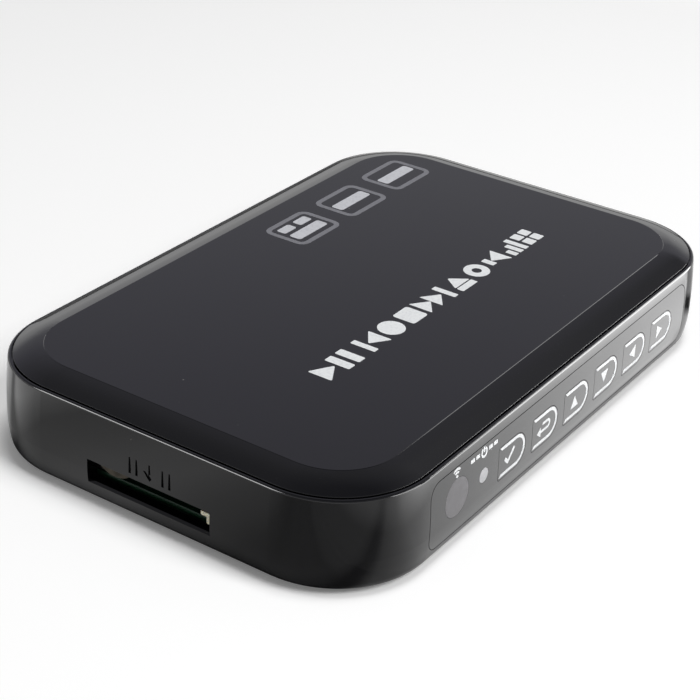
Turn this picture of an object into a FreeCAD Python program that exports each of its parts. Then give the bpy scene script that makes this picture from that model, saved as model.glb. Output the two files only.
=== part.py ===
import FreeCAD
import Part
import math
import os

# Small video player: a low rounded case with six front keys, a push-in card socket in the
# left end and connectors in the rear wall.  Millimetres; X runs along the case, +Y is the
# rear, +Z is up, and the origin lies under the middle of the case, where its feet stand.

V = FreeCAD.Vector

# ---------------------------------------------------------------- driving dimensions

# Case.  An inset is measured inwards from the widest outline of the case.
case_length = 130.0
case_width = 85.0
corner_radius = 18.5
side_height = 17.3
crown_rise = 1.7
side_wall = 2.4
floor_wall = 1.8
floor_fillet = 1.5
base_run = 2.4
base_rise = 6.0
base_toe_radius = 2.0
rim_inset = 0.6
rim_round = 0.45
lip_width = 0.6
groove_width = 0.3
ledge_drop = 1.0
crease_inset = 6.9
crown_bulge = 0.2
crease_step_width = 0.1
crease_step_drop = 0.06
cover_wall = 1.6
cover_edge_rise = 0.25
cover_edge_round = 0.1
tongue_depth = 1.2
tongue_wall = 1.0
tongue_clearance = 0.15
rib_thickness = 1.2
rib_depth = 1.8

# Case screws, one in each corner, driven from below into posts of the cover.
case_screw_inset_x = 11.5
case_screw_inset_y = 11.5
case_screw_radius = 1.0
case_screw_length = 10.0
case_screw_head_radius = 1.9
case_screw_head_height = 1.4
case_screw_clearance = 0.15
screw_tip_share = 0.4
screw_head_round_share = 0.4
cross_reach_share = 0.6
cross_width_share = 0.28
cross_depth_share = 0.5
pilot_clearance = 0.02
pilot_spare = 0.5
counterbore_depth = 3.5
counterbore_clearance = 0.3
boss_wall = 1.1
boss_height = 6.5
post_wall = 1.6

# Feet, rating plate and vents in the floor.
foot_radius = 4.5
foot_thickness = 1.2
foot_protrusion = 0.7
foot_round = 0.3
foot_inset_x = 20.0
foot_inset_y = 13.5
foot_clearance = 0.1
plate_length = 56.0
plate_width = 24.0
plate_thickness = 0.2
plate_recess = 0.25
plate_round = 1.5
plate_y = 16.0
plate_clearance = 0.2
vent_count = 8
vent_pitch = 3.6
vent_width = 1.6
vent_length = 20.0

# Main circuit board.
board_thickness = 1.6
board_inset = 3.0
standoff_height = 1.1
standoff_radius = 2.3
board_boss_clearance = 0.4
board_screw_inset = 25.0
board_screw_margin = 1.2
board_screw_radius = 0.8
board_screw_length = 3.2
board_screw_head_radius = 1.7
board_screw_head_height = 1.1
board_screw_hole_clearance = 0.15
standoff_hole_spare = 0.3

# Front strip with its window, light and keys.
strip_left_margin = 4.5
strip_right_margin = 5.6
strip_height = 13.0
strip_low_edge = 2.3
strip_round = 2.8
strip_depth = 0.9
strip_gap = 0.15
window_x = -38.35
window_height = 9.5
window_radius = 3.6
window_flange = 0.8
window_light_gap = 1.9
light_height = 9.4
light_radius = 1.35
light_flange = 0.85
flange_thickness = 0.6
insert_clearance = 0.05
key_count = 6
light_key_gap = 1.95
key_spacing = 2.35
key_height_above_base = 8.8
key_width = 9.1
key_height = 6.5
key_left_round = 0.6
key_gap = 0.1
key_guide_gap = 0.15
key_flange = 0.6
key_flange_thickness = 0.8
key_nub_radius = 1.5
key_nub_length = 0.6
key_travel = 0.3

# Upright key board behind the front wall.
key_board_margin = 2.0
key_board_height = 10.2
key_board_thickness = 1.6
switch_size = 6.0
switch_depth = 3.5
switch_frame_thickness = 0.25
switch_stem_radius = 1.7
switch_stem_out = 0.8
switch_stem_in = 1.0
switch_stem_clearance = 0.1
switch_bore_spare = 0.3
receiver_width = 5.6
receiver_height = 6.6
receiver_depth = 2.8
receiver_lens_radius = 2.2
led_radius = 1.5
led_length = 2.8
led_flange = 0.4
led_flange_thickness = 0.7
header_x = 12.0
header_pins = 6
header_pitch = 2.54
header_size = 2.5
header_pin_side = 0.64
header_pin_rise = 2.0
header_hole_clearance = 0.12

# Card slot in the left end and the card socket behind it.
slot_y = 0.5
slot_width = 26.0
slot_height = 4.2
slot_low_edge = 3.9
slot_lip = 0.3
socket_setback = 0.8
socket_length = 28.0
socket_height = 3.3
card_width = 24.3
card_thickness = 2.2
card_floor_gap = 0.1
socket_rail = 1.5
socket_sheet = 0.25
socket_back = 4.0
tab_width = 6.0
tab_y = 7.65
tab_setback = 0.25
slider_width = 1.6
slider_length = 14.0
slider_setback = 1.0
slider_gap = 0.1
slider_floor = 0.2
slider_wall = 0.5
slider_nose_length = 3.0
slider_nose_forward = 3.95
slider_nose_drop = 1.2
slider_nose_lap = 0.6
slider_nose_reach = 1.2
slider_hook_reach = 1.6
slider_hook_length = 1.2
slider_pin_radius = 0.35
slider_pin_length = 2.5
spring_radius = 0.65
spring_wire_radius = 0.11
spring_turns = 9
contact_count = 9
contact_pitch = 2.5
contact_width = 0.9
contact_thickness = 0.2
contact_length = 7.0

# Mark cut in the wall above the slot: an arrow down to it between two pairs of strokes.
mark_height_above_base = 10.5
mark_height = 3.0
mark_stroke = 0.5
mark_shift = 0.5
mark_arrow_width = 2.8
mark_head_height = 1.6
mark_depth = 0.35
mark_gap = 1.35
mark_pitch = 1.45

# Rear connectors, in a row from the left.
port_start_x = -34.5
port_spacing = 11.5
port_recess = 0.8
port_clearance = 0.25
usb_width = 13.1
usb_height = 5.7
usb_depth = 14.0
usb_sheet = 0.3
usb_base = 1.0
usb_tongue_width = 11.1
usb_tongue_thickness = 1.8
usb_tongue_drop = 0.4
usb_tongue_setback = 1.0
usb_back = 3.0
usb_contact_count = 4
usb_contact_pitch = 2.3
usb_contact_width = 1.1
video_width = 14.8
video_height = 5.3
video_depth = 11.5
video_sheet = 0.35
video_corner_x = 1.9
video_corner_z = 1.5
video_tongue_width = 11.8
video_tongue_thickness = 1.3
video_tongue_setback = 1.0
video_back = 2.0
video_contact_count = 10
video_contact_pitch = 1.0
video_contact_width = 0.45
port_contact_thickness = 0.12
audio_width = 6.4
audio_height = 5.6
audio_depth = 11.0
audio_bore_radius = 1.8
audio_bore_depth = 12.0
audio_collar_radius = 2.7
power_width = 7.4
power_height = 6.6
power_depth = 11.0
power_bore_radius = 2.1
power_bore_depth = 10.0
power_collar_radius = 3.0
power_pin_radius = 0.65
power_pin_setback = 1.5

# Parts on the main board.
chip_x = 4.0
chip_y = -10.0
chip_size = 17.0
chip_height = 1.4
chip_dot_radius = 0.5
chip_dot_inset = 1.5
chip_dot_depth = 0.1
pad_size = 15.0
pad_thickness = 0.5
sink_size = 22.0
sink_base = 2.0
sink_fin_height = 5.0
sink_fin_count = 7
sink_fin_thickness = 1.0
part_spacing = 2.0
memory_length = 13.5
memory_width = 9.0
memory_height = 1.1
flash_length = 16.4
flash_width = 12.0
flash_height = 1.1
flash_lead_count = 16
flash_lead_pitch = 0.9
flash_lead_width = 0.4
flash_lead_length = 1.0
flash_lead_thickness = 0.2
crystal_length = 11.4
crystal_width = 4.7
crystal_height = 3.6
capacitor_count = 4
capacitor_radius = 3.15
capacitor_height = 7.7
capacitor_base = 6.6
capacitor_base_height = 1.0
capacitor_pitch = 9.4
capacitor_edge_distance = 12.0
coil_count = 2
coil_size = 6.8
coil_height = 3.2
coil_pitch = 9.6

# ---------------------------------------------------------------- derived places

half_length = case_length / 2
half_width = case_width / 2
straight_x = half_length - corner_radius
straight_y = half_width - corner_radius
shell_z = foot_protrusion
floor_z = shell_z + floor_wall
rim_z = shell_z + side_height
ledge_z = rim_z - ledge_drop
crown_z = rim_z + crown_rise
cover_inset = rim_inset + lip_width + groove_width
board_low_z = floor_z + standoff_height
board_z = board_low_z + board_thickness
front_inner_y = -half_width + side_wall
rear_inner_y = half_width - side_wall
left_inner_x = -half_length + side_wall

strip_z = shell_z + strip_low_edge + strip_height / 2
window_z = shell_z + window_height
light_z = shell_z + light_height
key_z = shell_z + key_height_above_base
key_pitch = key_width + key_spacing
key_flange_reach = key_guide_gap + key_flange
light_x = window_x + window_radius + window_flange + window_light_gap + light_radius + light_flange
first_key_x = light_x + light_radius + light_flange + light_key_gap + key_flange_reach + key_width / 2
key_xs = [first_key_x + key_pitch * i for i in range(key_count)]
strip_left_x = window_x - window_radius - strip_left_margin
strip_right_x = key_xs[-1] + key_width / 2 + strip_right_margin
key_names = ["ok", "back", "up", "down", "left", "right"][:key_count]
key_back_y = front_inner_y + key_flange_thickness
nub_back_y = key_back_y + key_nub_length
switch_front_y = nub_back_y + switch_stem_out
key_board_y = switch_front_y + switch_depth
key_board_back_y = key_board_y + key_board_thickness

slot_low_z = shell_z + slot_low_edge
slot_top_z = slot_low_z + slot_height
socket_x = left_inner_x + socket_setback
socket_back_x = socket_x + socket_length
socket_z = board_z + socket_height
card_top_z = board_z + card_floor_gap + card_thickness
card_low_y = slot_y - card_width / 2
card_high_y = slot_y + card_width / 2
slider_low_y = card_low_y - slider_gap - slider_width
socket_low_y = slider_low_y - slider_gap - slider_wall
socket_high_y = card_high_y + socket_rail
slider_x = socket_x + slider_setback
slider_end_x = slider_x + slider_length
slider_z = board_z + slider_floor + slider_gap
spring_end_x = socket_back_x - socket_back

port_y = half_width - port_recess
port_widths = [usb_width, video_width, audio_width, power_width]
port_xs = [
    port_start_x + sum(port_widths[:i]) + port_spacing * i + port_widths[i] / 2
    for i in range(len(port_widths))
]
usb_x, video_x, audio_x, power_x = port_xs
audio_z = board_z + audio_height / 2
power_z = board_z + power_height / 2

case_screws_at = [
    (sx * (half_length - case_screw_inset_x), sy * (half_width - case_screw_inset_y))
    for sx in (-1, 1)
    for sy in (-1, 1)
]
feet_at = [
    (sx * (half_length - foot_inset_x), sy * (half_width - foot_inset_y))
    for sx in (-1, 1)
    for sy in (-1, 1)
]
board_screw_y = max(-socket_low_y, socket_high_y) + board_screw_head_radius + board_screw_margin
board_screw_x = half_length - board_screw_inset
board_screws_at = [(sx * board_screw_x, sy * board_screw_y) for sx in (-1, 1) for sy in (-1, 1)]
screw_seat_z = shell_z + counterbore_depth
counterbore_radius = case_screw_head_radius + counterbore_clearance
boss_radius = counterbore_radius + boss_wall
boss_z = floor_z + boss_height


# ---------------------------------------------------------------- shapes

def box(x0, x1, y0, y1, z0, z1):
    return Part.makeBox(x1 - x0, y1 - y0, z1 - z0, V(x0, y0, z0))


def rod(radius, start, end):
    """Cylinder from one point to another."""
    run = V(*end) - V(*start)
    return Part.makeCylinder(radius, run.Length, V(*start), run)


def fuse(*shapes):
    return shapes[0].fuse(list(shapes[1:])).removeSplitter()


def prism(points, run):
    """Solid from a flat polygon, carried along a run."""
    corners = [V(*p) for p in points]
    return Part.Face(Part.makePolygon([*corners, corners[0]])).extrude(V(*run))


def rounded_prism(low, high, rounds, place, run):
    """Rectangle from low to high with a radius for its two low-u and its two high-u corners.

    place turns the flat (u, v) into a point of space, and run is the way it is extruded.
    """
    corners = [
        (low[0] + rounds[0], low[1] + rounds[0], rounds[0], 180),
        (high[0] - rounds[1], low[1] + rounds[1], rounds[1], 270),
        (high[0] - rounds[1], high[1] - rounds[1], rounds[1], 0),
        (low[0] + rounds[0], high[1] - rounds[0], rounds[0], 90),
    ]
    arcs = []
    for u, v, radius, start in corners:
        turns = [math.radians(start + step) for step in (0, 45, 90)]
        arcs.append([place(u + radius * math.cos(t), v + radius * math.sin(t)) for t in turns])
    edges = []
    for i, arc in enumerate(arcs):
        edges.append(Part.Arc(*arc).toShape())
        after = arcs[(i + 1) % len(arcs)][0]
        if (after - arc[2]).Length > 1e-6:
            edges.append(Part.makeLine(arc[2], after))
    return Part.Face(Part.Wire(edges)).extrude(V(*run))


def wall_prism(x, z, width, height, rounds, y0, y1):
    """Rounded plate that stands in the XZ plane."""
    low = (x - width / 2, z - height / 2)
    high = (x + width / 2, z + height / 2)
    return rounded_prism(low, high, rounds, lambda u, v: V(u, y0, v), (0, y1 - y0, 0))


def slab(x, y, length, width, radius, z0, z1):
    """Rounded plate that lies in the XY plane."""
    low = (x - length / 2, y - width / 2)
    high = (x + length / 2, y + width / 2)
    return rounded_prism(low, high, (radius, radius), lambda u, v: V(u, v, z0), (0, 0, z1 - z0))


def section(start, *steps):
    """Face in a corner's radial plane, from points (inset, z).

    A step of four numbers is an arc: a point on its way, then its end.
    """
    def at(inset, z):
        return V(corner_radius - inset, 0, z)

    edges = []
    here = at(*start)
    for step in (*steps, start):
        there = at(*step[-2:])
        if len(step) == 4:
            edges.append(Part.Arc(here, at(*step[:2]), there).toShape())
        else:
            edges.append(Part.makeLine(here, there))
        here = there
    return Part.Face(Part.Wire(edges))


def case_loop(face):
    """Carry a section round the case: four corners, four sides, and the middle within."""
    quarter = face.revolve(V(0, 0, 0), V(0, 0, 1), 90)
    pieces = []
    for turn, (sx, sy) in enumerate(((1, 1), (-1, 1), (-1, -1), (1, -1))):
        run = straight_x if turn % 2 else straight_y
        side = face.extrude(V(0, -2 * run, 0))
        for piece in (quarter.copy(), side):
            piece.rotate(V(0, 0, 0), V(0, 0, 1), 90 * turn)
            piece.translate(V(sx * straight_x, sy * straight_y, 0))
            pieces.append(piece)
    on_axis = [v.Z for v in face.Vertexes if abs(v.X) < 1e-6]
    if on_axis:
        pieces.append(box(-straight_x, straight_x, -straight_y, straight_y, min(on_axis), max(on_axis)))
    return fuse(*pieces)


def arc_middle(centre, start, end, radius):
    """Point half-way along an arc, from its centre and its two ends."""
    away = V(start[0] + end[0] - 2 * centre[0], start[1] + end[1] - 2 * centre[1], 0)
    away.normalize()
    return (centre[0] + radius * away.x, centre[1] + radius * away.y)


def screw(shank_radius, shank_length, head_radius, head_height):
    """Pan-head screw that points up, seated at the origin, with a cross recess."""
    head = Part.makeCylinder(head_radius, head_height, V(0, 0, -head_height))
    rim = [e for e in head.Edges if len(e.Vertexes) == 1 and e.CenterOfMass.z < -head_height / 2]
    head = head.makeFillet(head_height * screw_head_round_share, rim)
    tip = shank_radius
    shank = Part.makeCylinder(shank_radius, shank_length - tip)
    point = Part.makeCone(shank_radius, shank_radius * screw_tip_share, tip, V(0, 0, shank_length - tip))
    arm = head_radius * cross_reach_share
    half = head_radius * cross_width_share / 2
    deep = head_height * cross_depth_share
    cross = [
        box(-arm, arm, -half, half, -head_height, deep - head_height),
        box(-half, half, -arm, arm, -head_height, deep - head_height),
    ]
    return fuse(head, shank, point).cut(cross)


def group(shapes):
    return Part.makeCompound(shapes)


def save(name, shape):
    shape.exportStep("parts/" + name + ".step")


# ---------------------------------------------------------------- case

def outer_body():
    """Outside of the shell: rounded base, barrelled side and rounded rim."""
    toe = base_toe_radius
    rise_gap = base_rise - toe
    flank = (base_run**2 + rise_gap**2 - toe**2) / (2 * (base_run - toe))
    flank_centre = (flank, shell_z + base_rise)
    toe_centre = (base_run, shell_z + toe)
    share = toe / (flank - toe)
    join = (
        toe_centre[0] - share * (flank_centre[0] - toe_centre[0]),
        toe_centre[1] - share * (flank_centre[1] - toe_centre[1]),
    )
    base = (base_run, shell_z)
    side_low = (0, shell_z + base_rise)
    side_high = (rim_inset, rim_z - rim_round)
    barrel = (rim_inset / 4, (side_low[1] + side_high[1]) / 2)
    rim = (rim_inset + rim_round, rim_z)
    rim_middle = arc_middle((rim[0], side_high[1]), side_high, rim, rim_round)
    return case_loop(section(
        (corner_radius, shell_z),
        base,
        (*arc_middle(toe_centre, base, join, toe), *join),
        (*arc_middle(flank_centre, join, side_low, flank), *side_low),
        (*barrel, *side_high),
        (*rim_middle, *rim),
        (corner_radius, rim_z),
    ))


def inner_space():
    """Room inside the shell, with the ledge that the cover stands on."""
    fillet_centre = (side_wall + floor_fillet, floor_z + floor_fillet)
    low = (side_wall + floor_fillet, floor_z)
    high = (side_wall, floor_z + floor_fillet)
    above = rim_z + crown_rise
    return case_loop(section(
        (corner_radius, floor_z),
        low,
        (*arc_middle(fillet_centre, low, high, floor_fillet), *high),
        (side_wall, ledge_z),
        (rim_inset + lip_width, ledge_z),
        (rim_inset + lip_width, above),
        (corner_radius, above),
    ))


def strip_prism(gap, y1):
    middle = (strip_left_x + strip_right_x) / 2
    width = strip_right_x - strip_left_x - 2 * gap
    height = strip_height - 2 * gap
    radius = strip_round - gap
    return wall_prism(middle, strip_z, width, height, (radius, radius), -half_width - 1, y1)


def key_prism(x, grow, y0, y1):
    """Key outline: square at the left, half-round at the right."""
    width = key_width + 2 * grow
    height = key_height + 2 * grow
    return wall_prism(x, key_z, width, height, (key_left_round + grow, height / 2), y0, y1)


def front_rod(x, z, radius, y0, y1):
    return rod(radius, (x, y0, z), (x, y1, z))


def mark_cuts():
    """Grooves of the mark above the card slot, cut from the left."""
    x0 = -half_length - 1
    x1 = -half_length + mark_depth
    low = shell_z + mark_height_above_base - mark_height / 2
    high = low + mark_height
    middle = slot_y - mark_shift
    half = mark_stroke / 2
    wing = mark_arrow_width / 2
    steep = mark_head_height / wing
    barb = low + mark_head_height
    spread = 1.2 * mark_stroke
    head = [(middle - wing, barb), (middle - wing + spread, barb), (middle, low + spread * steep),
            (middle + wing - spread, barb), (middle + wing, barb), (middle, low)]
    cuts = [prism([(x0, y, z) for y, z in head], (x1 - x0, 0, 0)),
            box(x0, x1, middle - half, middle + half, low + mark_stroke, high)]
    for side in (-1, 1):
        for count in range(2):
            y = middle + side * (wing + mark_gap + count * mark_pitch)
            cuts.append(box(x0, x1, y - half, y + half, low, high))
    return cuts


def rear_cuts():
    """Openings in the rear wall, round the face of each connector."""
    y0 = rear_inner_y - 1
    y1 = half_width + 1
    gap = port_clearance
    usb_low = board_z + usb_base
    usb = box(usb_x - usb_width / 2 - gap, usb_x + usb_width / 2 + gap, y0, y1,
              usb_low - gap, usb_low + usb_height + gap)
    video = prism([(x, y0, z) for x, z in video_outline(-gap)], (0, y1 - y0, 0))
    audio = front_rod(audio_x, audio_z, audio_collar_radius + gap, y0, y1)
    power = front_rod(power_x, power_z, power_collar_radius + gap, y0, y1)
    return [usb, video, audio, power]


def floor_cuts():
    """Vents, foot recesses, plate recess and screw holes, cut from below."""
    below = shell_z - 1
    cuts = []
    for i in range(vent_count):
        x = chip_x + vent_pitch * (i - (vent_count - 1) / 2)
        cuts.append(slab(x, chip_y, vent_width, vent_length, vent_width / 2, below, floor_z + 1))
    for x, y in feet_at:
        top = shell_z + foot_thickness - foot_protrusion
        cuts.append(rod(foot_radius + foot_clearance, (x, y, below), (x, y, top)))
    grown = plate_length + 2 * plate_clearance, plate_width + 2 * plate_clearance
    cuts.append(slab(0, plate_y, *grown, plate_round + plate_clearance, below, shell_z + plate_recess))
    for x, y in case_screws_at:
        cuts.append(rod(counterbore_radius, (x, y, below), (x, y, screw_seat_z)))
        cuts.append(rod(case_screw_radius + case_screw_clearance, (x, y, below), (x, y, boss_z + 1)))
    for x, y in board_screws_at:
        deep = board_z - board_screw_length - standoff_hole_spare
        cuts.append(rod(board_screw_radius + pilot_clearance, (x, y, deep), (x, y, board_z)))
    return cuts


def bottom_shell(outer):
    shell = outer.cut(inner_space())
    sunk = floor_z - floor_wall / 2
    bosses = [rod(boss_radius, (x, y, sunk), (x, y, boss_z)) for x, y in case_screws_at]
    standoffs = [rod(standoff_radius, (x, y, sunk), (x, y, board_low_z)) for x, y in board_screws_at]
    shell = fuse(shell, *bosses, *standoffs)
    recess_y = -half_width + strip_depth
    inside_y = front_inner_y + 1
    cuts = [strip_prism(0, recess_y)]
    cuts += [key_prism(x, key_guide_gap, -half_width - 1, inside_y) for x in key_xs]
    for x, z, radius in ((window_x, window_z, window_radius), (light_x, light_z, light_radius)):
        cuts.append(front_rod(x, z, radius + insert_clearance, -half_width - 1, inside_y))
    slot_low_y = slot_y - slot_width / 2
    slot_high_y = slot_y + slot_width / 2
    cuts.append(box(-half_length - 1, left_inner_x + 1, slot_low_y, slot_high_y, slot_low_z, slot_top_z))
    lip_x = -half_length - slot_lip
    lip = [(lip_x, slot_low_z - 2 * slot_lip), (lip_x, slot_low_z), (lip_x + 3 * slot_lip, slot_low_z)]
    cuts.append(prism([(x, slot_low_y, z) for x, z in lip], (0, slot_width, 0)))
    return shell.cut([*cuts, *mark_cuts(), *rear_cuts(), *floor_cuts()])


def top_cover():
    """Cover with its locating tongue, screw posts and ribs."""
    under_z = crown_z - cover_wall
    edge = (cover_inset, rim_z + cover_edge_rise - cover_edge_round)
    shoulder = (cover_inset + cover_edge_round, rim_z + cover_edge_rise)
    edge_middle = arc_middle((shoulder[0], edge[1]), edge, shoulder, cover_edge_round)
    step = (crease_inset - crease_step_width, crown_z - crease_step_drop)
    slope_middle = ((step[0] + shoulder[0]) / 2, (step[1] + shoulder[1]) / 2 + crown_bulge)
    tongue = side_wall + tongue_clearance
    plate = case_loop(section(
        (corner_radius, crown_z),
        (crease_inset, crown_z),
        step,
        (*slope_middle, *shoulder),
        (*edge_middle, *edge),
        (cover_inset, ledge_z),
        (tongue, ledge_z),
        (tongue, ledge_z - tongue_depth),
        (tongue + tongue_wall, ledge_z - tongue_depth),
        (tongue + tongue_wall, ledge_z),
        (crease_inset + cover_wall / 2, under_z),
        (corner_radius, under_z),
    ))
    post_radius = case_screw_radius + post_wall
    sunk = crown_z - cover_wall * 0.7
    extras = [rod(post_radius, (x, y, boss_z), (x, y, sunk)) for x, y in case_screws_at]
    far_x = half_length - case_screw_inset_x
    far_y = half_width - case_screw_inset_y
    half = rib_thickness / 2
    for side in (-1, 1):
        y = side * far_y
        x = side * far_x
        extras.append(box(-far_x, far_x, y - half, y + half, under_z - rib_depth, sunk))
        extras.append(box(x - half, x + half, -far_y, far_y, under_z - rib_depth, sunk))
    pilot_top = screw_seat_z + case_screw_length + pilot_spare
    pilots = [
        rod(case_screw_radius + pilot_clearance, (x, y, boss_z - 1), (x, y, pilot_top))
        for x, y in case_screws_at
    ]
    return fuse(plate, *extras).cut(pilots)


def front_strip(outer):
    """Flush strip in the front wall, cut through for the keys, the window and the light."""
    strip = outer.common(strip_prism(strip_gap, -half_width + strip_depth))
    y0 = -half_width - 1
    y1 = front_inner_y
    cuts = [key_prism(x, key_gap, y0, y1) for x in key_xs]
    cuts.append(front_rod(window_x, window_z, window_radius + insert_clearance, y0, y1))
    cuts.append(front_rod(light_x, light_z, light_radius + insert_clearance, y0, y1))
    return strip.cut(cuts)


def wall_insert(outer, x, z, radius, flange):
    """Round plug flush with the front, with a flange behind the wall."""
    plug = outer.common(front_rod(x, z, radius, -half_width - 1, front_inner_y))
    back = front_rod(x, z, radius + flange, front_inner_y, front_inner_y + flange_thickness)
    return fuse(plug, back)


def key(outer, x):
    """Key with its flange behind the wall and the nub that meets the switch."""
    face = outer.common(key_prism(x, 0, -half_width - 1, front_inner_y))
    flange = key_prism(x, key_flange_reach, front_inner_y, key_back_y)
    nub = front_rod(x, key_z, key_nub_radius, key_back_y, nub_back_y)
    return fuse(face, flange, nub)


def feet():
    shapes = []
    for x, y in feet_at:
        foot = rod(foot_radius, (x, y, 0), (x, y, foot_thickness))
        lower = [e for e in foot.Edges if e.Length > foot_radius and e.CenterOfMass.z < 0.01]
        shapes.append(foot.makeFillet(foot_round, lower))
    return group(shapes)


def rating_plate():
    low = shell_z + plate_recess - plate_thickness
    return slab(0, plate_y, plate_length, plate_width, plate_round, low, low + plate_thickness)


def case_screws():
    shapes = []
    for x, y in case_screws_at:
        one = screw(case_screw_radius, case_screw_length, case_screw_head_radius, case_screw_head_height)
        one.translate(V(x, y, screw_seat_z))
        shapes.append(one)
    return group(shapes)


# ---------------------------------------------------------------- key board

def switch_place(x, y0, y1, side):
    half = side / 2
    return box(x - half, x + half, y0, y1, key_z - half, key_z + half)


def switch_bodies():
    bore_end = switch_front_y + switch_stem_in + key_travel + switch_bore_spare
    radius = switch_stem_radius + switch_stem_clearance
    front = switch_front_y + switch_frame_thickness
    return group([
        switch_place(x, front, key_board_y, switch_size)
        .cut(front_rod(x, key_z, radius, front, bore_end))
        for x in key_xs
    ])


def switch_frames():
    radius = switch_stem_radius + switch_stem_clearance
    back = switch_front_y + switch_frame_thickness
    return group([
        switch_place(x, switch_front_y, back, switch_size)
        .cut(front_rod(x, key_z, radius, switch_front_y, back))
        for x in key_xs
    ])


def switch_stem(x):
    return front_rod(x, key_z, switch_stem_radius, nub_back_y, switch_front_y + switch_stem_in)


def header_xs():
    return [header_x + header_pitch * (i - (header_pins - 1) / 2) for i in range(header_pins)]


def header_axis():
    """Place of the header's upright pins, and height of its level pins."""
    return key_board_back_y + header_size / 2, board_z + header_pin_rise


def header_pin(x, grow):
    half = header_pin_side / 2 + grow
    y, z = header_axis()
    level = box(x - half, x + half, key_board_y, y + half, z - half, z + half)
    upright = box(x - half, x + half, y - half, y + half, board_low_z, z + half)
    return fuse(level, upright)


def key_board():
    left = window_x - receiver_width / 2 - key_board_margin
    right = key_xs[-1] + switch_size / 2 + key_board_margin
    board = box(left, right, key_board_y, key_board_back_y, board_z, board_z + key_board_height)
    return board.cut([header_pin(x, header_hole_clearance) for x in header_xs()])


def key_board_header():
    half = header_pitch * header_pins / 2
    y, z = header_axis()
    reach = header_size / 2
    body = box(header_x - half, header_x + half, y - reach, y + reach, board_z, z + reach)
    return body.cut([header_pin(x, header_hole_clearance) for x in header_xs()])


def infrared_receiver():
    half = receiver_width / 2
    low = window_z - receiver_height / 2
    front = key_board_y - receiver_depth
    body = box(window_x - half, window_x + half, front, key_board_y, low, low + receiver_height)
    lens = Part.makeSphere(receiver_lens_radius, V(window_x, front, window_z))
    return fuse(body, lens.common(front_rod(window_x, window_z, receiver_lens_radius, front - 5, front)))


def power_led():
    collar = key_board_y - led_flange_thickness
    neck = collar - led_length
    base = front_rod(light_x, light_z, led_radius + led_flange, collar, key_board_y)
    body = front_rod(light_x, light_z, led_radius, neck, collar)
    tip = Part.makeSphere(led_radius, V(light_x, neck, light_z))
    return fuse(base, body, tip.common(front_rod(light_x, light_z, led_radius, neck - 5, neck)))


# ---------------------------------------------------------------- card socket

def socket_cover():
    """Sheet-metal roof with side skirts and the half-round tab in the mouth."""
    t = socket_sheet
    low_y = socket_low_y - t
    high_y = socket_high_y + t
    roof = box(socket_x, socket_back_x, low_y, high_y, socket_z, socket_z + t)
    skirts = [
        box(socket_x, socket_back_x, low_y, socket_low_y, board_z, socket_z),
        box(socket_x, socket_back_x, socket_high_y, high_y, board_z, socket_z),
    ]
    tab_x = -half_length + tab_setback
    tab_low_y = tab_y - tab_width / 2
    tab_high_y = tab_y + tab_width / 2
    drop = socket_z - card_top_z
    radius = (tab_width**2 / 4 + drop**2) / (2 * drop)
    disc = rod(radius, (tab_x, tab_y, card_top_z + radius), (tab_x + t, tab_y, card_top_z + radius))
    below = box(tab_x, tab_x + t, tab_low_y, tab_high_y, card_top_z, socket_z)
    strap = box(tab_x, socket_x + t, tab_low_y, tab_high_y, socket_z, socket_z + t)
    return fuse(roof, *skirts, strap, disc.common(below))


def socket_base():
    """Plastic frame: a rail each side of the card, a slider channel and the contact block."""
    rail = box(socket_x + socket_sheet, socket_back_x, card_high_y, socket_high_y, board_z, socket_z)
    wall_high = socket_low_y + slider_wall
    wall = box(socket_x + socket_sheet, socket_back_x, socket_low_y, wall_high, board_z, socket_z)
    channel = box(socket_x + socket_sheet, socket_back_x, socket_low_y, card_low_y, board_z,
                  board_z + slider_floor)
    block = box(spring_end_x, socket_back_x, socket_low_y, socket_high_y, board_z, socket_z)
    base = fuse(rail, wall, channel, block)
    return base.cut([contact_box(i, spring_end_x, socket_back_x + 1) for i in range(contact_count)])


def contact_box(i, x0, x1):
    y = slot_y + contact_pitch * (i - (contact_count - 1) / 2)
    half = contact_width / 2
    z = card_top_z + socket_sheet
    return box(x0, x1, y - half, y + half, z, z + contact_thickness)


def card_contacts():
    """Springs over the card, each held in a slit of the contact block."""
    shapes = []
    for i in range(contact_count):
        arm = contact_box(i, spring_end_x - contact_length, socket_back_x)
        tip = contact_box(i, spring_end_x - contact_length, spring_end_x - contact_length * 0.8)
        tip.translate(V(0, 0, -contact_thickness))
        shapes.append(fuse(arm, tip))
    return group(shapes)


def card_slider():
    """Slider beside the card: nose over the card's edge, hook before its front corner."""
    high_y = slider_low_y + slider_width
    top = socket_z - slider_gap
    body = box(slider_x, slider_end_x, slider_low_y, high_y, slider_z, top)
    nose_low = card_top_z + slider_gap
    nose_y = high_y + slider_nose_reach
    nose_end = slider_x + slider_nose_length
    nose = prism([(slider_x, high_y, nose_low), (slider_x, nose_y, nose_low + slider_gap),
                  (slider_x, nose_y, top), (slider_x, high_y, top)], (nose_end - slider_x, 0, 0))
    tip_x = slider_x - slider_nose_forward
    cheek_y = high_y - slider_nose_lap
    cheek_z = nose_low - slider_nose_drop
    tip = prism([(tip_x, cheek_y, cheek_z), (tip_x, high_y, cheek_z), (tip_x, high_y, nose_low),
                 (tip_x, nose_y, nose_low + slider_gap), (tip_x, nose_y, top), (tip_x, cheek_y, top)],
                (slider_nose_forward, 0, 0))
    hook = box(slider_end_x - slider_hook_length, slider_end_x, high_y, high_y + slider_hook_reach,
               slider_z, top)
    y, z = spring_axis()
    pin = rod(slider_pin_radius, (slider_end_x, y, z), (slider_end_x + slider_pin_length, y, z))
    return fuse(body, nose, tip, hook, pin)


def spring_axis():
    return slider_low_y + slider_width / 2, (slider_z + socket_z - slider_gap) / 2


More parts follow.
